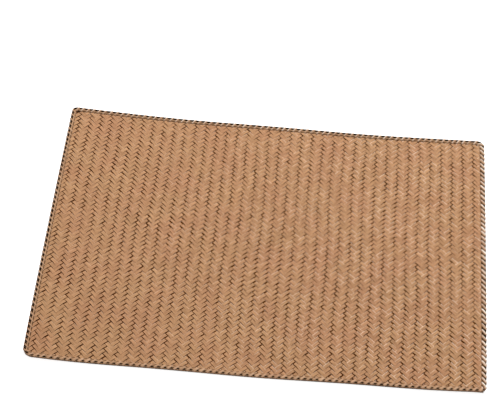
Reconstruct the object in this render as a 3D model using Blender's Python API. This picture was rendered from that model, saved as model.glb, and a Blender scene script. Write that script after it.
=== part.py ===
"""A plaited pandanus table mat with a whipped border, lying flat. Units are metres, +Z is up.

The mat is a thin sheet of leaf strips plaited corner to corner, so the panel is one thin slab at the weave's
thickness. A narrow strand is wound round the whole rim to hold the strip ends, and each of its turns is a
ridge of the border. The origin is the middle of the mat, on the surface that it rests on.
"""

import math

import bmesh
import bpy

# Driving sizes of the mat as it lies.
LENGTH = 0.450
WIDTH = 0.320
HALF_LENGTH = LENGTH / 2
HALF_WIDTH = WIDTH / 2
PANEL_THICKNESS = 0.0016

# Outer corner radii, in the order in which the outline passes them, clockwise from the back left.
CORNER_RADII = {
    "back_left": 0.0055,
    "back_right": 0.0080,
    "front_right": 0.0060,
    "front_left": 0.0100,
}
CORNER_STEPS = 6

# The whipped border: how wide it is, how far apart its turns are, and how far a turn leans forward
# between its inner hole and the rim.
BORDER_WIDTH = 0.0050
TURN_PITCH = 0.00615
TURN_LEAN = 0.0034
CLEARANCE = 0.0003

# The border's section, from its inner foot over the top to the rim and back under. Each row is
# (inset on a turn, height on a turn, inset in the dip between turns, height in that dip).
BORDER_SECTION = (
    (0.0050, 0.0002, 0.0050, 0.0002),
    (0.0050, 0.0018, 0.0050, 0.0016),
    (0.0034, 0.0025, 0.0034, 0.0019),
    (0.0014, 0.0028, 0.0018, 0.0019),
    (0.0003, 0.0021, 0.0010, 0.0016),
    (0.0000, 0.0012, 0.0005, 0.0010),
    (0.0005, 0.0003, 0.0009, 0.0003),
    (0.0015, 0.0000, 0.0016, 0.0000),
)

# How unevenly it lies. The middle of the long edges sags towards the front, the right end is narrower
# than the left, the short edges bulge, and the long edges ripple.
SAG = 0.0023
SAG_CENTRE = 0.70
TAPER = 0.0015
END_BULGE = 0.0007
RIPPLE = 0.0004
RIPPLES = 8.0
# Past the flat middle share of the length the two ends lift off the table, each corner by its own amount.
FLAT_SHARE = 0.58
CORNER_LIFT = {
    "back_left": 0.0030,
    "back_right": 0.0022,
    "front_right": 0.0016,
    "front_left": 0.0020,
}
CUTS_ALONG = 23
CUTS_ACROSS = 11


def settle(x, y, z):
    """Carries a point of the true rectangle to where it lies in the uneven mat."""
    along = x / HALF_LENGTH
    deep = y / HALF_WIDTH
    side = "right" if along > 0 else "left"
    back_share = (deep + 1) / 2
    end_lift = (
        CORNER_LIFT["back_" + side] * back_share
        + CORNER_LIFT["front_" + side] * (1 - back_share)
    )
    past_flat = max(0.0, (abs(along) - FLAT_SHARE) / (1 - FLAT_SHARE))
    width_change = RIPPLE * math.cos(RIPPLES * along) - TAPER * along
    return (
        x + END_BULGE * along * (0.5 - deep * deep),
        y + SAG * (along * along - SAG_CENTRE) + width_change * deep,
        z + end_lift * past_flat * past_flat,
    )


def outline_runs(inset):
    """The mat's outline at an inset, clockwise from the back left, as straight runs and corner arcs.

    A run is (length, start point, direction); an arc is (length, centre, radius, start angle).
    """
    right, back = HALF_LENGTH - inset, HALF_WIDTH - inset
    corners = (
        ("back_right", right, back, 90),
        ("front_right", right, -back, 0),
        ("front_left", -right, -back, -90),
        ("back_left", -right, back, -180),
    )
    runs = []
    x, y = -right + CORNER_RADII["back_left"] - inset, back
    for name, corner_x, corner_y, start_angle in corners:
        radius = CORNER_RADII[name] - inset
        centre = (
            corner_x - math.copysign(radius, corner_x),
            corner_y - math.copysign(radius, corner_y),
        )
        start, end = math.radians(start_angle), math.radians(start_angle - 90)
        arc_start = (centre[0] + radius * math.cos(start), centre[1] + radius * math.sin(start))
        length = math.hypot(arc_start[0] - x, arc_start[1] - y)
        runs.append((length, (x, y), ((arc_start[0] - x) / length, (arc_start[1] - y) / length)))
        runs.append((radius * math.pi / 2, centre, radius, start))
        x, y = centre[0] + radius * math.cos(end), centre[1] + radius * math.sin(end)
    return runs


def on_outline(runs, distance):
    """The point that far along the outline, and the unit vector pointing out of the mat there."""
    distance %= sum(run[0] for run in runs)
    for run in runs:
        if distance <= run[0]:
            break
        distance -= run[0]
    if len(run) == 3:
        (x, y), (along_x, along_y) = run[1], run[2]
        return x + along_x * distance, y + along_y * distance, -along_y, along_x
    centre, radius, start = run[1], run[2], run[3]
    angle = start - distance / radius
    out_x, out_y = math.cos(angle), math.sin(angle)
    return centre[0] + radius * out_x, centre[1] + radius * out_y, out_x, out_y


def outline_corners(inset):
    """The outline at an inset as a polygon: only the ends of its straight runs and the points of its arcs."""
    points = []
    for run in outline_runs(inset):
        if len(run) == 3:
            continue
        centre, radius, start = run[1], run[2], run[3]
        for step in range(CORNER_STEPS + 1):
            angle = start - math.pi / 2 * step / CORNER_STEPS
            points.append((centre[0] + radius * math.cos(angle), centre[1] + radius * math.sin(angle)))
    return points


def make_material(name, colour, roughness):
    material = bpy.data.materials.new(name)
    material.use_nodes = True
    shader = material.node_tree.nodes["Principled BSDF"]
    shader.inputs["Base Color"].default_value = (*colour, 1.0)
    shader.inputs["Roughness"].default_value = roughness
    shader.inputs["Metallic"].default_value = 0.0
    return material


def make_object(name, mesh_data, material):
    """Closes a bmesh into a named object, with its faces pointing out and its points settled."""
    bmesh.ops.recalc_face_normals(mesh_data, faces=mesh_data.faces[:])
    for vertex in mesh_data.verts:
        vertex.co = settle(*vertex.co)
    mesh = bpy.data.meshes.new(name)
    mesh_data.to_mesh(mesh)
    mesh_data.free()
    mesh.materials.append(material)
    made = bpy.data.objects.new(name, mesh)
    bpy.context.scene.collection.objects.link(made)
    return made


def make_panel(material):
    """The plaited panel: its outline extruded to the weave's thickness, then cut across so that it can bend."""
    panel = bmesh.new()
    rim = [panel.verts.new((x, y, 0.0)) for x, y in outline_corners(BORDER_WIDTH + CLEARANCE)]
    foot = panel.faces.new(rim)
    lifted = bmesh.ops.extrude_face_region(panel, geom=[foot], use_keep_orig=True)
    for item in lifted["geom"]:
        if isinstance(item, bmesh.types.BMVert):
            item.co.z = PANEL_THICKNESS
    for count, reach, direction in ((CUTS_ALONG, LENGTH, (1, 0, 0)), (CUTS_ACROSS, WIDTH, (0, 1, 0))):
        for cut in range(1, count + 1):
            place = reach * (cut / (count + 1) - 0.5)
            bmesh.ops.bisect_plane(
                panel,
                geom=panel.verts[:] + panel.edges[:] + panel.faces[:],
                plane_co=[place * part for part in direction],
                plane_no=direction,
            )
    return make_object("woven_panel", panel, material)


def make_border(material):
    """The whipped border: rings of its section round the rim, by turns a ridge and the dip after it.

    Every ring leans, because the strand runs forward from its inner hole to the rim.
    """
    middle_inset = BORDER_WIDTH / 2
    runs = outline_runs(middle_inset)
    around = sum(run[0] for run in runs)
    turns = round(around / TURN_PITCH)
    border = bmesh.new()
    rings = []
    for station in range(2 * turns):
        ring = []
        for turn_inset, turn_height, dip_inset, dip_height in BORDER_SECTION:
            inset, height = (dip_inset, dip_height) if station % 2 else (turn_inset, turn_height)
            lean = TURN_LEAN * (0.5 - inset / BORDER_WIDTH)
            x, y, out_x, out_y = on_outline(runs, around * station / (2 * turns) + lean)
            reach = middle_inset - inset
            ring.append(border.verts.new((x + out_x * reach, y + out_y * reach, height)))
        rings.append(ring)
    for ring, following in zip(rings, rings[1:] + rings[:1]):
        for point in range(len(ring)):
            beside = (point + 1) % len(ring)
            border.faces.new((ring[point], ring[beside], following[beside], following[point]))
    bmesh.ops.triangulate(border, faces=border.faces[:])
    return make_object("whipped_border", border, material)


def main():
    for old in list(bpy.data.objects):
        bpy.data.objects.remove(old)
    leaf = make_material("pandanus_leaf", (0.445, 0.242, 0.127), 0.62)
    strand = make_material("whipping_strand", (0.430, 0.270, 0.165), 0.66)
    make_panel(leaf)
    make_border(strand)


main()
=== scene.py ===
"""The looks of the plaited pandanus table mat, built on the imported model. Units are metres, +Z is up.

Every leaf strip of the panel is a closed ribbon that goes over two and under two of the strips it crosses.
The border is a flat cord standing along the rim, a band folded over the strip ends, and one strand wound
round both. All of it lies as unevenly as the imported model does.
"""

import math

import bpy
import numpy as np
from mathutils import Matrix, Vector


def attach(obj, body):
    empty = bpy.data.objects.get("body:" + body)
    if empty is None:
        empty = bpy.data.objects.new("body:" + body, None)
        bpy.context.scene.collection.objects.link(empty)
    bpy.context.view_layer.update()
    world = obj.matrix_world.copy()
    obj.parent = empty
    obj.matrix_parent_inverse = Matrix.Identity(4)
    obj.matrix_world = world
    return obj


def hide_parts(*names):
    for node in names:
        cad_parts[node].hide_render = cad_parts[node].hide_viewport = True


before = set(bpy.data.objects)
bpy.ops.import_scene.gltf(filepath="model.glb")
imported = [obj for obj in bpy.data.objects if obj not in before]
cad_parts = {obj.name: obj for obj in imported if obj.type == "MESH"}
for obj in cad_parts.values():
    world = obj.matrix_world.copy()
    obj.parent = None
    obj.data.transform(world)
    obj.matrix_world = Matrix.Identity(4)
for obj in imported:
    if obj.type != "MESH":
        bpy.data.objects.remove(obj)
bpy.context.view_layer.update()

# The mat's sizes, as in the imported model.
LENGTH = 0.450
WIDTH = 0.320
HALF_LENGTH = LENGTH / 2
HALF_WIDTH = WIDTH / 2
CORNER_RADII = {
    "back_left": 0.0055,
    "back_right": 0.0080,
    "front_right": 0.0060,
    "front_left": 0.0100,
}
BORDER_WIDTH = 0.0050
TURN_PITCH = 0.00615

# How unevenly it lies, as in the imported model.
SAG = 0.0023
SAG_CENTRE = 0.70
TAPER = 0.0015
END_BULGE = 0.0007
RIPPLE = 0.0004
RIPPLES = 8.0
FLAT_SHARE = 0.58
CORNER_LIFT = {
    "back_left": 0.0030,
    "back_right": 0.0022,
    "front_right": 0.0016,
    "front_left": 0.0020,
}

# The plaiting. Strips run corner to corner, side by side at the pitch, and a strip repeats itself every four
# pitches: two over, two under. Each row of its stations is (place in pitches after the strip comes to the
# top, height of its middle, how much sooner where the plaiting is slack, how far its front side always draws
# back as a share of the half width, how much further where it is slack, how much painted shade its upper face
# gets where it lies in a gap, and how much painted shade its lower face gets).
STRIP_PITCH = 0.00409
FLOAT_PITCHES = 2
REPEAT_PITCHES = 4
STRIP_HALF_WIDTH = 0.00199
PANEL_MIDDLE = 0.00080
STRIP_STATIONS = (
    (-0.13, -0.00050, 0.00, 0.00, 0.00, 1.0, 0.0),
    (0.01, 0.00040, 0.00, 0.00, 0.00, 0.0, 1.0),
    (0.45, 0.00042, 0.00, 0.10, 0.04, 0.0, 1.0),
    (1.00, 0.00043, 0.00, 0.18, 0.17, 0.0, 1.0),
    (1.985, 0.00042, 0.25, 0.00, 0.19, 0.0, 1.0),
    (2.03, -0.00012, 0.00, 0.00, 0.12, 1.0, 1.0),
    (2.18, -0.00050, 0.00, 0.00, 0.00, 1.0, 0.0),
)
# A strip's section, round from its left edge over the top. Each row is
# (share of the half width, height, 1 on the upper face and -1 on the lower one, how much painted shade it gets
# as it faces a gap).
STRIP_SECTION = (
    (-1.00, -0.00002, 1, 0.9),
    (-0.94, 0.00013, 1, 0.0),
    (0.94, 0.00013, 1, 0.0),
    (1.00, -0.00002, 1, 0.9),
    (0.90, -0.00012, -1, 0.0),
    (-0.90, -0.00012, -1, 0.0),
)
# How much painted shade a strip's back edge gets, as a share of what its front edge gets.
BACK_SIDE_SHADE = 0.25

# How slack the plaiting is. Where the rising strips have slack along their front side the falling ones are
# tight. Each row is a spot of it: (x, y, radius, how much more slack the rising strips have there).
SLACK_SPOTS = (
    (0.000, -0.040, 0.060, 1.0),
    (0.125, 0.045, 0.055, 1.0),
    (-0.165, -0.080, 0.060, 1.0),
    (-0.135, 0.105, 0.070, -1.0),
    (0.160, -0.085, 0.060, -1.0),
    (0.030, 0.120, 0.040, -0.5),
    (-0.080, 0.020, 0.035, -0.7),
)
SLACK_MIDDLE = 0.36
SLACK_GAIN = 0.46
SLACK_SPREAD = 0.28
SLACK_SEED = 31
SLACK_GRID = 199
# How far after a strip comes to the top, in pitches, the slack of its front side and of its end is taken.
FRONT_CROSSING = 1.5
END_CROSSING = 2.5

# The strips end this far inside the rim, and one that would be shorter than this is left out. The rings that
# are past a strip's end are kept this far apart, and the end is found by halving this often.
STRIP_END_INSET = 0.0034
SHORTEST_STRIP = 0.0035
SLIVER = 0.00004
END_HALVINGS = 24

# How far the hand work strays. Each row of the wander is
# (size, wave length along X, wave length along Y, phase, share of it along X).
WANDER = (
    (0.00070, 0.310, 0.190, 0.6, 0.8),
    (0.00045, -0.130, 0.170, 2.1, -0.6),
    (0.00030, 0.075, -0.090, 4.0, 0.5),
    (0.00018, 0.041, 0.052, 5.2, -0.7),
)
WANDER_FADE = 0.014
FLOAT_LIFT = 0.000035
FLOAT_ROLL = 0.022
STRIP_STRAY = 0.00006
STRIP_WIDTH_SPREAD = 0.022

# The border. Each row of a section is (inset and height on a turn, how much further in and higher between
# turns, painted shade on a turn, painted shade between turns).
CORD_SECTION = (
    (0.00030, 0.00110, -0.00003, 0.00000, 0.85, 0.85),
    (0.00032, 0.00190, -0.00003, 0.00004, 0.70, 0.70),
    (0.00048, 0.00226, 0.00000, 0.00006, 0.18, 0.18),
    (0.00086, 0.00216, 0.00000, 0.00008, 0.10, 0.10),
    (0.00094, 0.00186, 0.00000, 0.00004, 1.00, 1.00),
    (0.00110, 0.00036, 0.00000, 0.00000, 1.00, 1.00),
    (0.00250, 0.00032, 0.00000, 0.00000, 1.00, 1.00),
    (0.00250, 0.00012, 0.00000, 0.00000, 0.60, 0.60),
    (0.00070, 0.00010, 0.00000, 0.00000, 0.80, 0.80),
    (0.00036, 0.00034, -0.00003, 0.00000, 0.90, 0.90),
)
BAND_SECTION = (
    (0.00500, 0.00118, 0.00020, 0.00000, 0.20, 1.00),
    (0.00490, 0.00150, 0.00020, -0.00010, 0.10, 1.00),
    (0.00436, 0.00172, 0.00000, -0.00012, 0.00, 0.85),
    (0.00380, 0.00188, 0.00000, 0.00004, 0.00, 0.00),
    (0.00300, 0.00204, 0.00000, 0.00006, 0.00, 0.00),
    (0.00258, 0.00190, 0.00000, 0.00000, 0.80, 0.80),
    (0.00248, 0.00120, 0.00000, 0.00000, 1.00, 1.00),
    (0.00248, 0.00030, 0.00000, 0.00000, 1.00, 1.00),
    (0.00310, 0.00008, 0.00000, 0.00000, 0.30, 0.30),
    (0.00480, 0.00010, 0.00000, 0.00000, 0.20, 0.20),
    (0.00490, 0.00036, 0.00000, 0.00000, 0.80, 0.80),
    (0.00330, 0.00038, 0.00000, 0.00000, 1.00, 1.00),
    (0.00330, 0.00150, 0.00000, 0.00000, 1.00, 1.00),
)
RING_STATIONS = 4
RING_UNEVENNESS = 0.35
# The strand's way, first from its inner hole over the top to the rim, then back underneath. Each row is
# (inset, height of its bed, half width, thickness, painted shade).
STRAND_OVER = (
    (0.00545, 0.00090, 0.00080, 0.00020, 0.80),
    (0.00532, 0.00124, 0.00096, 0.00030, 0.60),
    (0.00492, 0.00150, 0.00114, 0.00040, 0.22),
    (0.00430, 0.00176, 0.00130, 0.00050, 0.00),
    (0.00350, 0.00196, 0.00140, 0.00056, 0.00),
    (0.00270, 0.00210, 0.00142, 0.00058, 0.00),
    (0.00180, 0.00220, 0.00142, 0.00052, 0.00),
    (0.00100, 0.00229, 0.00142, 0.00044, 0.00),
    (0.00052, 0.00221, 0.00146, 0.00034, 0.25),
    (0.00026, 0.00185, 0.00154, 0.00024, 0.72),
    (0.00024, 0.00130, 0.00160, 0.00016, 0.85),
    (0.00028, 0.00070, 0.00164, 0.00014, 0.88),
)
STRAND_UNDER = (
    (0.00060, 0.00030, 0.00170, 0.00012, 0.60),
    (0.00150, 0.00017, 0.00150, 0.00012, 0.00),
    (0.00270, 0.00017, 0.00145, 0.00012, 0.00),
    (0.00390, 0.00017, 0.00135, 0.00012, 0.00),
    (0.00500, 0.00022, 0.00110, 0.00014, 0.40),
)
# Its section. Each row is (share of the half width, share of the thickness).
STRAND_SECTION = (
    (-1.00, 0.00),
    (-0.84, 0.58),
    (-0.38, 0.96),
    (0.38, 0.96),
    (0.84, 0.58),
    (1.00, 0.00),
    (0.00, -0.25),
)
# How the border differs with the way it faces. Each row is (x and y of that way, how far forward the strand
# comes on its way to the rim, how much wider it is, how much painted highlight it gets, how much painted shade
# the cord gets between its turns, how much painted shade the band gets there).
BORDER_SIDES = (
    (1.0, 0.0, 0.0072, -0.04, 0.95, 1.00, 1.00),
    (0.0, 1.0, 0.0038, -0.22, 0.60, 0.90, 0.10),
    (-1.0, 0.0, 0.0050, -0.42, 0.15, 0.35, 0.00),
    (0.0, -1.0, 0.0050, -0.06, 0.10, 0.00, 0.00),
)
LEAN, WIDER, HIGHLIGHT, CORD_SHADE, BAND_SHADE = range(2, 7)
# How much painted highlight the plaiting gets: these places along X, and the amount at each.
HIGHLIGHT_FROM, HIGHLIGHT_TO = (-0.14, 0.14), (0.30, 0.95)

# How far the turns of the strand stray: slowly along the border, one by one, in width and in thickness.
STRAND_DRIFT = 0.0010
DRIFT_SMOOTHINGS = 2
STRAND_STRAY = 0.00012
STRAND_WIDTH_SPREAD = 0.09
STRAND_THICKNESS_SPREAD = 0.12
STRAND_LOWEST = 0.00001
# What its grain is laid out with: the way from one ring to the next, and from its middle to its edge.
STRAND_RING_STEP = 0.0009
STRAND_FIBRE_HALF_WIDTH = 0.0015

# Edges sharper than this many degrees are kept sharp.
SHARP_ANGLE = 36
STRAND_SHARP_ANGLE = 70

# The camera, as fitted to the mat's outline in the photograph.
CAMERA_AZIMUTH = 3.24
CAMERA_ELEVATION = 51.67
CAMERA_ROLL = 2.04
CAMERA_DISTANCE = 1.6498
CAMERA_TARGET = (-0.02075, 0.05179, 0.0)
CAMERA_LENS = 113.4
CAMERA_SENSOR = 36.0
CAMERA_SIGHT = 20.0

# The lights. Each row is (name, place, size, power). The main one is behind the mat.
LIGHTS = (
    ("back_softbox", (0.30, 1.90, 2.10), (1.2, 0.8), 95.0),
    ("front_fill", (0.20, -1.80, 2.20), (2.0, 1.6), 8.0),
)
ROOM_LIGHT = 0.28

# The floor.
FLOOR_REACH = 4.0
FLOOR_ROUGHNESS = 0.9
FLOOR_TINT = (0.90, 0.90, 0.90)
FLOOR_GLOW = 0.74
# The part of it under the mat, this far inside the outline, doesn't glow and is tinted warm brown as painted
# shade.
DIM_INSET = 0.003
UNDER_MAT_SHADE_TINT = (0.72, 0.58, 0.46)


def settle(x, y, z):
    """Carries points of the true rectangle to where they lie in the uneven mat."""
    along = x / HALF_LENGTH
    deep = y / HALF_WIDTH
    back_share = (deep + 1) / 2
    right = along > 0
    back_lift = np.where(right, CORNER_LIFT["back_right"], CORNER_LIFT["back_left"])
    front_lift = np.where(right, CORNER_LIFT["front_right"], CORNER_LIFT["front_left"])
    end_lift = back_lift * back_share + front_lift * (1 - back_share)
    past_flat = np.maximum(0.0, (np.abs(along) - FLAT_SHARE) / (1 - FLAT_SHARE))
    width_change = RIPPLE * np.cos(RIPPLES * along) - TAPER * along
    return np.stack(
        (
            x + END_BULGE * along * (0.5 - deep * deep),
            y + SAG * (along * along - SAG_CENTRE) + width_change * deep,
            z + end_lift * past_flat * past_flat,
        ),
        axis=-1,
    )


def depth_inside(x, y):
    """How far inside the mat's rounded outline points lie; negative outside."""
    right, back = x > 0, y > 0
    radius = np.where(
        right,
        np.where(back, CORNER_RADII["back_right"], CORNER_RADII["front_right"]),
        np.where(back, CORNER_RADII["back_left"], CORNER_RADII["front_left"]),
    )
    past_x = np.abs(x) - HALF_LENGTH + radius
    past_y = np.abs(y) - HALF_WIDTH + radius
    beyond = np.hypot(np.maximum(past_x, 0), np.maximum(past_y, 0))
    return radius - beyond - np.minimum(np.maximum(past_x, past_y), 0)


def outline_runs(inset):
    """The mat's outline at an inset, clockwise from the back left, as straight runs and corner arcs.

    A run is (length, start point, direction); an arc is (length, centre, radius, start angle).
    """
    right, back = HALF_LENGTH - inset, HALF_WIDTH - inset
    corners = (
        ("back_right", right, back, 90),
        ("front_right", right, -back, 0),
        ("front_left", -right, -back, -90),
        ("back_left", -right, back, -180),
    )
    runs = []
    x, y = -right + CORNER_RADII["back_left"] - inset, back
    for name, corner_x, corner_y, start_angle in corners:
        radius = CORNER_RADII[name] - inset
        centre = (
            corner_x - math.copysign(radius, corner_x),
            corner_y - math.copysign(radius, corner_y),
        )
        start, end = math.radians(start_angle), math.radians(start_angle - 90)
        arc_start = (centre[0] + radius * math.cos(start), centre[1] + radius * math.sin(start))
        length = math.hypot(arc_start[0] - x, arc_start[1] - y)
        runs.append((length, (x, y), ((arc_start[0] - x) / length, (arc_start[1] - y) / length)))
        runs.append((radius * math.pi / 2, centre, radius, start))
        x, y = centre[0] + radius * math.cos(end), centre[1] + radius * math.sin(end)
    return runs


def on_outline(runs, distance):
    """The point that far along the outline, and the unit vector pointing out of the mat there."""
    distance %= sum(run[0] for run in runs)
    for run in runs:
        if distance <= run[0]:
            break
        distance -= run[0]
    if len(run) == 3:
        (x, y), (along_x, along_y) = run[1], run[2]
        return x + along_x * distance, y + along_y * distance, -along_y, along_x
    centre, radius, start = run[1], run[2], run[3]
    angle = start - distance / radius
    out_x, out_y = math.cos(angle), math.sin(angle)
    return centre[0] + radius * out_x, centre[1] + radius * out_y, out_x, out_y


BORDER_MIDDLE = BORDER_WIDTH / 2
BORDER_RUNS = outline_runs(BORDER_MIDDLE)
AROUND = sum(run[0] for run in BORDER_RUNS)
TURNS = round(AROUND / TURN_PITCH)
SLACK_CHANCE = np.random.default_rng(SLACK_SEED).normal(0, 1, (SLACK_GRID, SLACK_GRID))


def at_border(distances, insets, heights):
    """Points of the border before it settles, from how far along it, how far in and how high they are."""
    spots = np.array([on_outline(BORDER_RUNS, distance) for distance in distances.ravel()])
    spots = spots.reshape(distances.shape + (4,))
    reach = BORDER_MIDDLE - insets
    return np.stack(
        (spots[..., 0] + spots[..., 2] * reach, spots[..., 1] + spots[..., 3] * reach, heights),
        axis=-1,
    )


class Ribbons:
    """Gathers ribbons, each a stack of rings of points, into one mesh with values kept at its points."""

    def __init__(self):
        self.points = []
        self.faces = []
        self.values = {}
        self.count = 0

    def add(self, rings, closed=False, **values):
        """rings is an array of (ring, point of the section, xyz).

        A closed ribbon's last ring meets its first.
        """
        ring_count, section_count = rings.shape[:2]
        numbers = self.count + np.arange(ring_count * section_count).reshape(ring_count, section_count)
        following = np.roll(numbers, -1, axis=0) if closed else numbers[1:]
        these = numbers if closed else numbers[:-1]
        quads = np.stack(
            (these, following, np.roll(following, -1, axis=1), np.roll(these, -1, axis=1)), axis=-1
        )
        self.faces.extend(quads.reshape(-1, 4).tolist())
        if not closed:
            self.faces.append(numbers[0].tolist())
            self.faces.append(numbers[-1][::-1].tolist())
        self.points.append(rings.reshape(-1, 3))
        for key, value in values.items():
            spread = np.broadcast_to(value, (ring_count, section_count)).reshape(-1)
            self.values.setdefault(key, []).append(spread)
        self.count += ring_count * section_count

    def finish(self, name, material, sharp_angle=SHARP_ANGLE):
        mesh = bpy.data.meshes.new(name)
        mesh.from_pydata(np.concatenate(self.points).tolist(), [], self.faces)
        for key, parts in self.values.items():
            layer = mesh.attributes.new(key, "FLOAT", "POINT")
            layer.data.foreach_set("value", np.concatenate(parts).astype(np.float32))
        mesh.shade_smooth()
        mesh.set_sharp_from_angle(angle=math.radians(sharp_angle))
        mesh.materials.append(material)
        made = bpy.data.objects.new(name, mesh)
        bpy.context.scene.collection.objects.link(made)
        return made


def wander(x, y):
    """How far the plaiting strays from its true lines at each place, fading out towards the border."""
    fade = np.clip((depth_inside(x, y) - STRIP_END_INSET) / WANDER_FADE, 0, 1)
    fade = fade * fade * (3 - 2 * fade)
    shift_x, shift_y = np.zeros_like(x), np.zeros_like(y)
    for size, wave_x, wave_y, phase, share in WANDER:
        wave = size * fade * np.sin(2 * math.pi * (x / wave_x + y / wave_y) + phase)
        shift_x += wave * share
        shift_y += wave * (1 - abs(share))
    return shift_x, shift_y


def strip_ends(start_x, start_y, heading):
    """How far lines run back and forth from their starts before they leave the plaited field."""
    reach_x = (HALF_LENGTH - STRIP_END_INSET) / abs(heading[0])
    reach_y = (HALF_WIDTH - STRIP_END_INSET) / abs(heading[1])
    middle_x, middle_y = -start_x / heading[0], -start_y / heading[1]
    low = np.maximum(middle_x - reach_x, middle_y - reach_y)
    high = np.minimum(middle_x + reach_x, middle_y + reach_y)
    middle = (low + high) / 2
    ends = []
    for outer in (low, high):
        inner = middle
        for _ in range(END_HALVINGS):
            tried = (inner + outer) / 2
            depth = depth_inside(start_x + heading[0] * tried, start_y + heading[1] * tried)
            inside = depth > STRIP_END_INSET
            inner = np.where(inside, tried, inner)
            outer = np.where(inside, outer, tried)
        ends.append(inner)
    return ends


def slack_at(rising_number, falling_number, slant):
    """How slack the plaiting is where two strips cross, 0 to 1.

    It is taken along the front side of a float that slants so, 1 for a rising one and -1 for a falling one.
    """
    diagonal = STRIP_PITCH * math.sqrt(0.5)
    x = -diagonal * (rising_number + falling_number + 1)
    y = diagonal * (rising_number - falling_number)
    spots = sum(
        amount * np.exp(-((x - spot_x) ** 2 + (y - spot_y) ** 2) / radius**2)
        for spot_x, spot_y, radius, amount in SLACK_SPOTS
    )
    chance = SLACK_CHANCE[rising_number % SLACK_GRID, falling_number % SLACK_GRID]
    return np.clip(SLACK_MIDDLE + SLACK_GAIN * slant * spots + SLACK_SPREAD * chance, 0, 1)


def make_strips(name, heading, slant, material, seed):
    """One family of leaf strips, side by side at the pitch, as one joined mesh.

    A strip comes to the top one pitch further along than its neighbour; slant says which way along.
    """
    chance = np.random.default_rng(seed)
    side = (-heading[1], heading[0])
    share, section_height, face, edge_gap_shade = np.array(STRIP_SECTION).T
    place, middle_height, sooner, drawn_back, drawn_further, upper_face_shade, lower_face_shade = np.array(STRIP_STATIONS).T
    front = share * slant < 0
    edge_gap_shade = np.where(front, edge_gap_shade, edge_gap_shade * BACK_SIDE_SHADE)
    ribbons = Ribbons()
    reach = math.ceil((HALF_LENGTH + HALF_WIDTH) / STRIP_PITCH)
    float_count = 2 * reach + 4
    for number in range(-reach, reach):
        half_width = STRIP_HALF_WIDTH * (1 + chance.normal(0, STRIP_WIDTH_SPREAD))
        stray = chance.normal(0, STRIP_STRAY)
        tone = chance.random()
        lifts = chance.normal(0, FLOAT_LIFT, float_count)
        rolls = chance.normal(0, FLOAT_ROLL, float_count)
        float_tones = chance.random(float_count)
        middle_across = (number + 0.5) * STRIP_PITCH + stray
        edge_across = middle_across + np.sign(share) * half_width
        low, high = strip_ends(side[0] * edge_across, side[1] * edge_across, heading)
        if (high - low).min() < SHORTEST_STRIP:
            continue
        over = slant * number
        first = math.floor((low.min() / STRIP_PITCH - over) / REPEAT_PITCHES) - 1
        last = math.ceil((high.max() / STRIP_PITCH - over) / REPEAT_PITCHES) + 1
        repeats = REPEAT_PITCHES * np.arange(first, last + 1)
        slacks = []
        for crossing, line in ((FRONT_CROSSING, slant), (END_CROSSING, -slant)):
            other = np.rint(-slant * (over + repeats + crossing) - 0.5).astype(int)
            pair = (number, other) if slant > 0 else (other, number)
            slacks.append(slack_at(*pair, line)[:, None])
        front_slack, end_slack = slacks
        stations = (STRIP_PITCH * (over + repeats[:, None] + place - sooner * end_slack)).ravel()
        drawn = (drawn_back + drawn_further * front_slack).ravel()
        begin = np.searchsorted(stations, low.min()) - 1
        end = np.searchsorted(stations, high.max()) + 1
        cut = slice(begin, end)
        rank = np.arange(end - begin)[:, None] * SLIVER
        along = np.clip(stations[cut, None], low + rank, high - rank[::-1])
        middle = np.interp(along, stations, np.tile(middle_height, len(repeats)))
        across = middle_across + half_width * share * (1 - np.interp(along, stations, drawn) * front)
        above = np.interp(along, stations, np.tile(upper_face_shade, len(repeats)))
        below = np.interp(along, stations, np.tile(lower_face_shade, len(repeats)))
        float_number = np.floor((along / STRIP_PITCH - over) / FLOAT_PITCHES).astype(int) + reach
        x = side[0] * across + heading[0] * along
        y = side[1] * across + heading[1] * along
        shift_x, shift_y = wander(x, y)
        roll = rolls[float_number] * share * half_width
        z = PANEL_MIDDLE + middle + lifts[float_number] + section_height + roll
        # Painted shade kept at the points darkens a strip where it dips into a gap under a crossing strip, on
        # its hidden lower face and on its edge walls, the front ones more than the back ones.
        ribbons.add(
            settle(x + shift_x, y + shift_y, z),
            tone=tone,
            float_tone=float_tones[float_number],
            along=along,
            across=across,
            sunk=np.maximum(np.where(face > 0, above, below), edge_gap_shade),
            side=share * slant,
            # The painted highlight share grows along X, most at the right.
            bleached=np.interp(x, HIGHLIGHT_FROM, HIGHLIGHT_TO),
        )
    return ribbons.finish(name, material)


def at_sides(distances, column):
    """A column of the table of the border's sides, at distances along it."""
    ways = np.array([on_outline(BORDER_RUNS, distance)[2:] for distance in np.ravel(distances)])
    values = sum(np.maximum(ways @ row[:2], 0) ** 2 * row[column] for row in BORDER_SIDES)
    return values.reshape(np.shape(distances))


def lean(inset, distances):
    """How far forward along the border a turn of the strand has come at an inset, on its way to the rim."""
    return at_sides(distances, LEAN) * (0.5 - inset / BORDER_WIDTH)


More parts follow.
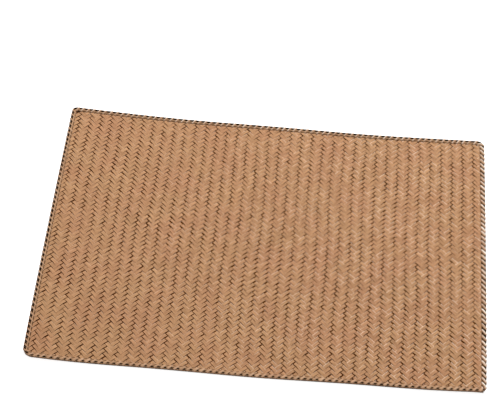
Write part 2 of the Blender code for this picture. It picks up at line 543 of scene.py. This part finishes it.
def make_border_ring(name, section, shade_column, material, seed):
    """A closed ring of the given section along the rim, pinched under each turn of the strand."""
    chance = np.random.default_rng(seed)
    count = TURNS * RING_STATIONS
    inset, height, further_in, higher, painted_darkness, painted_darkness_between = np.array(section).T
    turn_share = np.arange(count)[:, None] / RING_STATIONS
    between = (1 - np.cos(2 * math.pi * turn_share)) / 2
    uneven = between * (1 + chance.normal(0, RING_UNEVENNESS, (count, 1)))
    distances = AROUND * turn_share / TURNS
    distances = distances + lean(inset, distances)
    points = at_border(distances, inset + further_in * uneven, height + higher * uneven)
    # Painted shade: the crevices at the rim and the gaps between turns are darkened, more on the sides that
    # face the light less.
    facing_shade = at_sides(distances, shade_column)
    painted_darkness = np.minimum(painted_darkness + (painted_darkness_between - painted_darkness + facing_shade) * between, 1)
    ribbons = Ribbons()
    ribbons.add(
        settle(points[..., 0], points[..., 1], points[..., 2]),
        closed=True,
        tone=0.5,
        float_tone=0.5,
        along=distances,
        across=np.cumsum(np.hypot(np.diff(inset, prepend=inset[0]), np.diff(height, prepend=height[0]))),
        sunk=painted_darkness,
        side=0.0,
        bleached=0.0,
    )
    return ribbons.finish(name, material)


def make_strand(name, material, seed):
    """The strand wound round the border: from its inner hole over the top to the rim, and back underneath."""
    chance = np.random.default_rng(seed)
    # The strand's painted shade darkens it where it dives into its hole and down the rim's outer face.
    inset, height, half_width, thickness, painted_darkness = np.array(STRAND_OVER + STRAND_UNDER).T
    steps = len(inset)
    over = np.arange(steps) < len(STRAND_OVER)
    pitch = AROUND / TURNS
    back_share = (inset - inset[over][-1]) / (inset[0] - inset[over][-1])
    begins = np.arange(TURNS)[:, None] * pitch
    rim, hole = lean(inset[over][-1], begins), pitch + lean(inset[0], begins + pitch)
    forward = np.where(over, lean(inset, begins), rim + (hole - rim) * back_share)
    drift = chance.normal(0, STRAND_DRIFT, TURNS)
    for _ in range(DRIFT_SMOOTHINGS):
        drift = (np.roll(drift, 1) + drift + np.roll(drift, -1)) / 3
    drift += chance.normal(0, STRAND_STRAY, TURNS)
    widths = 1 + chance.normal(0, STRAND_WIDTH_SPREAD, TURNS)
    lifts = 1 + chance.normal(0, STRAND_THICKNESS_SPREAD, TURNS)
    distances = begins + forward + drift[:, None]
    insets = np.broadcast_to(inset, distances.shape)
    heights = np.broadcast_to(height, distances.shape)
    path = at_border(distances, insets, heights).reshape(-1, 3)
    forth = np.roll(path, -1, axis=0) - np.roll(path, 1, axis=0)
    spots = np.array([on_outline(BORDER_RUNS, distance) for distance in distances.ravel()])
    way_in = np.tile(np.roll(inset, -1) - np.roll(inset, 1), TURNS)
    way_up = np.tile(np.roll(height, -1) - np.roll(height, 1), TURNS)
    facing = np.stack((-spots[:, 2] * way_up, -spots[:, 3] * way_up, -way_in), axis=1)
    sideways = np.cross(facing, forth)
    sideways /= np.linalg.norm(sideways, axis=1)[:, None]
    facing = np.cross(forth, sideways)
    facing /= np.linalg.norm(facing, axis=1)[:, None]
    wide = np.tile(half_width, TURNS) * np.repeat(widths, steps) * (1 + at_sides(distances.ravel(), WIDER))
    thick = np.tile(thickness, TURNS) * np.repeat(lifts, steps)
    share, bulge = np.array(STRAND_SECTION).T
    rings = (
        path[:, None, :]
        + sideways[:, None, :] * (wide[:, None] * share)[..., None]
        + facing[:, None, :] * (thick[:, None] * bulge)[..., None]
    )
    # The strand's painted highlight is strongest on the sides of the border that face the light.
    ribbons = Ribbons()
    ribbons.add(
        settle(rings[..., 0], rings[..., 1], np.maximum(rings[..., 2], STRAND_LOWEST)),
        closed=True,
        tone=np.repeat(chance.random(TURNS), steps)[:, None],
        float_tone=np.repeat(chance.random(TURNS), steps)[:, None],
        along=(np.arange(TURNS * steps) * STRAND_RING_STEP)[:, None],
        across=share * STRAND_FIBRE_HALF_WIDTH,
        sunk=np.tile(painted_darkness, TURNS)[:, None],
        side=share,
        bleached=at_sides(distances.ravel(), HIGHLIGHT)[:, None],
    )
    return ribbons.finish(name, material, STRAND_SHARP_ANGLE)


class Shader:
    """A small helper for making a material's nodes in order."""

    def __init__(self, name):
        self.material = bpy.data.materials.new(name)
        self.material.use_nodes = True
        self.tree = self.material.node_tree
        self.surface = self.tree.nodes["Principled BSDF"]

    def node(self, kind, settings=None, **inputs):
        """Adds a node, sets its own settings, and fills or links its inputs by name; _ stands for a space."""
        made = self.tree.nodes.new(kind)
        for key, value in (settings or {}).items():
            setattr(made, key, value)
        for key, value in inputs.items():
            self.fill(made.inputs[key.replace("_", " ")], value)
        return made

    def fill(self, socket, value):
        if isinstance(value, bpy.types.NodeSocket):
            self.tree.links.new(value, socket)
        else:
            socket.default_value = value

    def attribute(self, name):
        return self.node("ShaderNodeAttribute", {"attribute_name": name}).outputs["Fac"]

    def math(self, operation, first, second=0.0):
        made = self.node("ShaderNodeMath", {"operation": operation})
        self.fill(made.inputs[0], first)
        self.fill(made.inputs[1], second)
        return made.outputs[0]

    def mix(self, amount, first, second, blend="MIX"):
        made = self.node("ShaderNodeMix", {"data_type": "RGBA", "blend_type": blend})
        self.fill(made.inputs["Factor"], amount)
        self.fill(made.inputs["A"], first)
        self.fill(made.inputs["B"], second)
        return made.outputs["Result"]

    def scaled(self, where, factors):
        made = self.node("ShaderNodeVectorMath", {"operation": "MULTIPLY"})
        self.fill(made.inputs[0], where)
        made.inputs[1].default_value = factors
        return made.outputs["Vector"]

    def noise(self, where, scale, detail, rough):
        made = self.node("ShaderNodeTexNoise", Vector=where, Scale=scale, Detail=detail, Roughness=rough)
        return made.outputs["Fac"]

    def spread(self, value, low, high, to_low=0.0, to_high=1.0):
        made = self.node("ShaderNodeMapRange")
        self.fill(made.inputs["Value"], value)
        for key, number in (("From Min", low), ("From Max", high), ("To Min", to_low), ("To Max", to_high)):
            made.inputs[key].default_value = number
        return made.outputs["Result"]


def colour(red, green, blue):
    return (red, green, blue, 1.0)


# The leaf's grain. A grain is stretched noise: (per metre along the strip, per metre across it, how much it
# changes with the strip's tone). A patch is noise in place: (per metre, detail, roughness).
FIBRE_GRAIN = (60.0, 2600.0, 9.0)
COARSE_GRAIN = (110.0, 900.0, 17.0)
BLOTCH_GRAIN = (45.0, 160.0, 31.0)
RUDDY_PATCHES = (24.0, 3.0, 0.55)
LOOSE_PATCHES = (17.0, 2.0, 0.5)
# What share each has in how light the leaf is, and how much of a ruddy patch shows.
STRIP_TONE_SHARE = 0.35
BLOTCH_SHARE = 0.60
FLOAT_TONE_SHARE = 0.30
RUDDY_SHARE = 0.45
# The edge of a strand gets painted shade from this share of its half width on.
SIDE_SHADE_FROM = 0.965
# How it shines: little and warm, and rougher or smoother by this much from fibre to fibre.
ROUGHNESS_SPREAD = 0.08
SPECULAR_LEVEL = 0.08
SPECULAR_TINT = (0.90, 0.60, 0.35)
FIBRE_BUMP = 0.3
FIBRE_BUMP_HEIGHT = 0.00012

# The kinds of dried leaf. A leaf gets a painted highlight: more and more from the first to the second value of
# its highlight side range across it, and from the first to the second value of its highlight tones from float
# to float. Its shade dips give the painted shade values from which and up to which it darkens, first to shade
# and then to the near black of a crevice in shadow.
LEAVES = {
    "pandanus_leaf": {
        "light": (0.484, 0.270, 0.138),
        "dark": (0.396, 0.210, 0.103),
        "ruddy": (0.424, 0.200, 0.110),
        "highlight_colour": (1.00, 0.82, 0.64),
        "painted_highlight": 0.9,
        "highlight_side": (0.74, 0.82),
        "highlight_tones": (0.10, 0.80),
        "shade": (0.250, 0.086, 0.018),
        "painted_crevice_shade": (0.060, 0.013, 0.001),
        "roughness": 0.62,
        "shade_dips": (0.08, 0.45),
        "side_shade": 0.0,
    },
    "whipping_leaf": {
        "light": (0.490, 0.292, 0.168),
        "dark": (0.380, 0.214, 0.118),
        "ruddy": (0.440, 0.232, 0.138),
        "highlight_colour": (0.86, 0.77, 0.66),
        "painted_highlight": 1.0,
        "highlight_side": (-0.60, 0.30),
        "highlight_tones": (-0.40, 0.80),
        "shade": (0.190, 0.110, 0.065),
        "painted_crevice_shade": (0.022, 0.009, 0.004),
        "roughness": 0.46,
        "shade_dips": (0.0, 1.0),
        "side_shade": 0.60,
    },
    "edge_leaf": {
        "light": (0.470, 0.285, 0.160),
        "dark": (0.340, 0.195, 0.105),
        "ruddy": (0.380, 0.200, 0.110),
        "highlight_colour": (0.78, 0.56, 0.38),
        "painted_highlight": 0.0,
        "highlight_side": (0.7, 0.8),
        "highlight_tones": (0.0, 1.0),
        "shade": (0.150, 0.070, 0.030),
        "painted_crevice_shade": (0.008, 0.003, 0.001),
        "roughness": 0.52,
        "shade_dips": (0.0, 1.0),
        "side_shade": 0.0,
    },
}


def leaf_material(name):
    """Dried leaf: fibres along the strip, tones that differ from strip to strip, painted shade in the gaps and
    a painted highlight along edges.
    """
    leaf = LEAVES[name]
    shader = Shader(name)
    place = shader.node("ShaderNodeTexCoord").outputs["Object"]
    tone = shader.attribute("tone")
    along, across = shader.attribute("along"), shader.attribute("across")
    strip_place = shader.node("ShaderNodeCombineXYZ", X=along, Y=across, Z=tone).outputs["Vector"]
    fibre = shader.noise(shader.scaled(strip_place, FIBRE_GRAIN), 1.0, 3.0, 0.6)
    coarse = shader.noise(shader.scaled(strip_place, COARSE_GRAIN), 1.0, 2.0, 0.55)
    blotch = shader.noise(shader.scaled(strip_place, BLOTCH_GRAIN), 1.0, 2.0, 0.5)
    strip_tone = shader.math("MULTIPLY", tone, STRIP_TONE_SHARE)
    tint = shader.math("ADD", strip_tone, shader.math("MULTIPLY", blotch, BLOTCH_SHARE))
    float_tone = shader.math("MULTIPLY", shader.attribute("float_tone"), FLOAT_TONE_SHARE)
    tint = shader.math("ADD", tint, float_tone)
    base = shader.mix(shader.spread(tint, 0.25, 1.0), colour(*leaf["dark"]), colour(*leaf["light"]))
    patch = shader.spread(shader.noise(place, *RUDDY_PATCHES), 0.40, 0.64)
    base = shader.mix(shader.math("MULTIPLY", patch, RUDDY_SHARE), base, colour(*leaf["ruddy"]))
    fine_streak = shader.spread(fibre, 0.30, 0.70, 0.82, 1.18)
    coarse_streak = shader.spread(coarse, 0.30, 0.70, 0.84, 1.16)
    streak = shader.math("MULTIPLY", fine_streak, coarse_streak)
    streaks = shader.node("ShaderNodeCombineColor", Red=streak, Green=streak, Blue=streak).outputs["Color"]
    base = shader.mix(1.0, base, streaks, "MULTIPLY")
    side = shader.attribute("side")
    # Painted highlight: one edge of the strips and turns is lightened towards a pale colour, in patches and
    # more to the right.
    painted_highlight = shader.math("MULTIPLY", shader.spread(side, *leaf["highlight_side"]), shader.spread(coarse, 0.36, 0.54))
    painted_highlight = shader.math("MULTIPLY", painted_highlight, shader.spread(shader.attribute("float_tone"), *leaf["highlight_tones"]))
    painted_highlight = shader.math("MULTIPLY", painted_highlight, shader.attribute("bleached"))
    base = shader.mix(shader.math("MULTIPLY", painted_highlight, leaf["painted_highlight"]), base, colour(*leaf["highlight_colour"]))
    # Painted shade: the base colour darkens to the shade colour and then to the near black of a crevice, in
    # the gaps and at the strand's edges, more in loose patches.
    dip = shader.spread(shader.attribute("sunk"), *leaf["shade_dips"])
    at_edge = shader.spread(shader.math("ABSOLUTE", side), SIDE_SHADE_FROM, 1.0)
    edge = shader.math("MULTIPLY", at_edge, leaf["side_shade"])
    gap = shader.math("MAXIMUM", dip, edge)
    looseness = shader.spread(shader.noise(place, *LOOSE_PATCHES), 0.35, 0.62, 0.70, 1.0)
    shaded = shader.math("MULTIPLY", shader.spread(gap, 0.0, 0.5), looseness)
    deep = shader.math("MULTIPLY", shader.spread(gap, 0.5, 1.0), looseness)
    base = shader.mix(shaded, base, colour(*leaf["shade"]))
    base = shader.mix(deep, base, colour(*leaf["painted_crevice_shade"]))
    shader.fill(shader.surface.inputs["Base Color"], base)
    roughest, smoothest = leaf["roughness"] + ROUGHNESS_SPREAD, leaf["roughness"] - ROUGHNESS_SPREAD
    roughness = shader.spread(fibre, 0.3, 0.7, roughest, smoothest)
    shader.fill(shader.surface.inputs["Roughness"], roughness)
    shader.surface.inputs["Specular IOR Level"].default_value = SPECULAR_LEVEL
    shader.surface.inputs["Specular Tint"].default_value = colour(*SPECULAR_TINT)
    bump = shader.node("ShaderNodeBump", Strength=FIBRE_BUMP, Distance=FIBRE_BUMP_HEIGHT, Height=fibre)
    shader.fill(shader.surface.inputs["Normal"], bump.outputs["Normal"])
    return shader.material


def make_mat():
    leaf = leaf_material("pandanus_leaf")
    strand_leaf = leaf_material("whipping_leaf")
    edge_leaf = leaf_material("edge_leaf")
    diagonal = math.sqrt(0.5)
    rising = make_strips("rising_strips", (diagonal, diagonal), 1, leaf, seed=11)
    falling = make_strips("falling_strips", (-diagonal, diagonal), -1, leaf, seed=12)
    cord = make_border_ring("edge_cord", CORD_SECTION, CORD_SHADE, edge_leaf, seed=21)
    band = make_border_ring("edge_band", BAND_SECTION, BAND_SHADE, edge_leaf, seed=22)
    strand = make_strand("whipping_strand", strand_leaf, seed=23)
    for piece in (rising, falling, cord, band, strand):
        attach(piece, "root")
    for piece in (rising, falling):
        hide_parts("woven_panel")
    for piece in (cord, band, strand):
        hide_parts("whipped_border")


def make_floor():
    """A white floor of three by three faces. It glows, apart from the middle one under the mat, which is
    tinted warm brown as painted shade.
    """
    xs = (-FLOOR_REACH, DIM_INSET - HALF_LENGTH, HALF_LENGTH - DIM_INSET, FLOOR_REACH)
    ys = (-FLOOR_REACH, DIM_INSET - HALF_WIDTH, HALF_WIDTH - DIM_INSET, FLOOR_REACH)
    corners = [(x, y, 0) for y in ys for x in xs]
    faces = [(row + i, row + i + 1, row + i + 5, row + i + 4) for row in (0, 4, 8) for i in range(3)]
    middle_face = len(faces) // 2
    mesh = bpy.data.meshes.new("floor")
    mesh.from_pydata(corners, [], faces)
    floor = bpy.data.objects.new("floor", mesh)
    bpy.context.scene.collection.objects.link(floor)
    kinds = (("floor", FLOOR_TINT, FLOOR_GLOW), ("floor_under_mat", UNDER_MAT_SHADE_TINT, 0.0))
    for name, tint, glow in kinds:
        shader = Shader(name)
        shader.surface.inputs["Base Color"].default_value = colour(*tint)
        shader.surface.inputs["Roughness"].default_value = FLOOR_ROUGHNESS
        shader.surface.inputs["Emission Color"].default_value = colour(1.0, 1.0, 1.0)
        shader.surface.inputs["Emission Strength"].default_value = glow
        mesh.materials.append(shader.material)
    mesh.polygons[middle_face].material_index = 1


def make_lights():
    """Softboxes turned to the middle of the mat, and an even white room."""
    for name, place, size, power in LIGHTS:
        light = bpy.data.lights.new(name, "AREA")
        light.shape = "RECTANGLE"
        light.size, light.size_y = size
        light.energy = power
        made = bpy.data.objects.new(name, light)
        made.location = place
        made.rotation_euler = (-Vector(place)).to_track_quat("-Z", "Y").to_euler()
        bpy.context.scene.collection.objects.link(made)
    world = bpy.data.worlds.new("studio")
    world.use_nodes = True
    background = world.node_tree.nodes["Background"]
    background.inputs["Color"].default_value = colour(1.0, 1.0, 1.0)
    background.inputs["Strength"].default_value = ROOM_LIGHT
    bpy.context.scene.world = world


def make_camera():
    azimuth, elevation = math.radians(CAMERA_AZIMUTH), math.radians(CAMERA_ELEVATION)
    roll = math.radians(CAMERA_ROLL)
    back = Vector(
        (
            math.sin(azimuth) * math.cos(elevation),
            -math.cos(azimuth) * math.cos(elevation),
            math.sin(elevation),
        )
    )
    level = Vector((math.cos(azimuth), math.sin(azimuth), 0.0))
    upright = back.cross(level)
    right = level * math.cos(roll) + upright * math.sin(roll)
    up = upright * math.cos(roll) - level * math.sin(roll)
    data = bpy.data.cameras.new("camera")
    data.sensor_width = CAMERA_SENSOR
    data.lens = CAMERA_LENS
    data.clip_end = CAMERA_SIGHT
    camera = bpy.data.objects.new("camera", data)
    camera.matrix_world = Matrix.Translation(Vector(CAMERA_TARGET) + back * CAMERA_DISTANCE) @ Matrix(
        (
            (right.x, up.x, back.x, 0.0),
            (right.y, up.y, back.y, 0.0),
            (right.z, up.z, back.z, 0.0),
            (0.0, 0.0, 0.0, 1.0),
        )
    )
    bpy.context.scene.collection.objects.link(camera)
    bpy.context.scene.camera = camera


make_camera()
make_mat()
make_floor()
make_lights()
bpy.context.scene.view_settings.view_transform = "Standard"
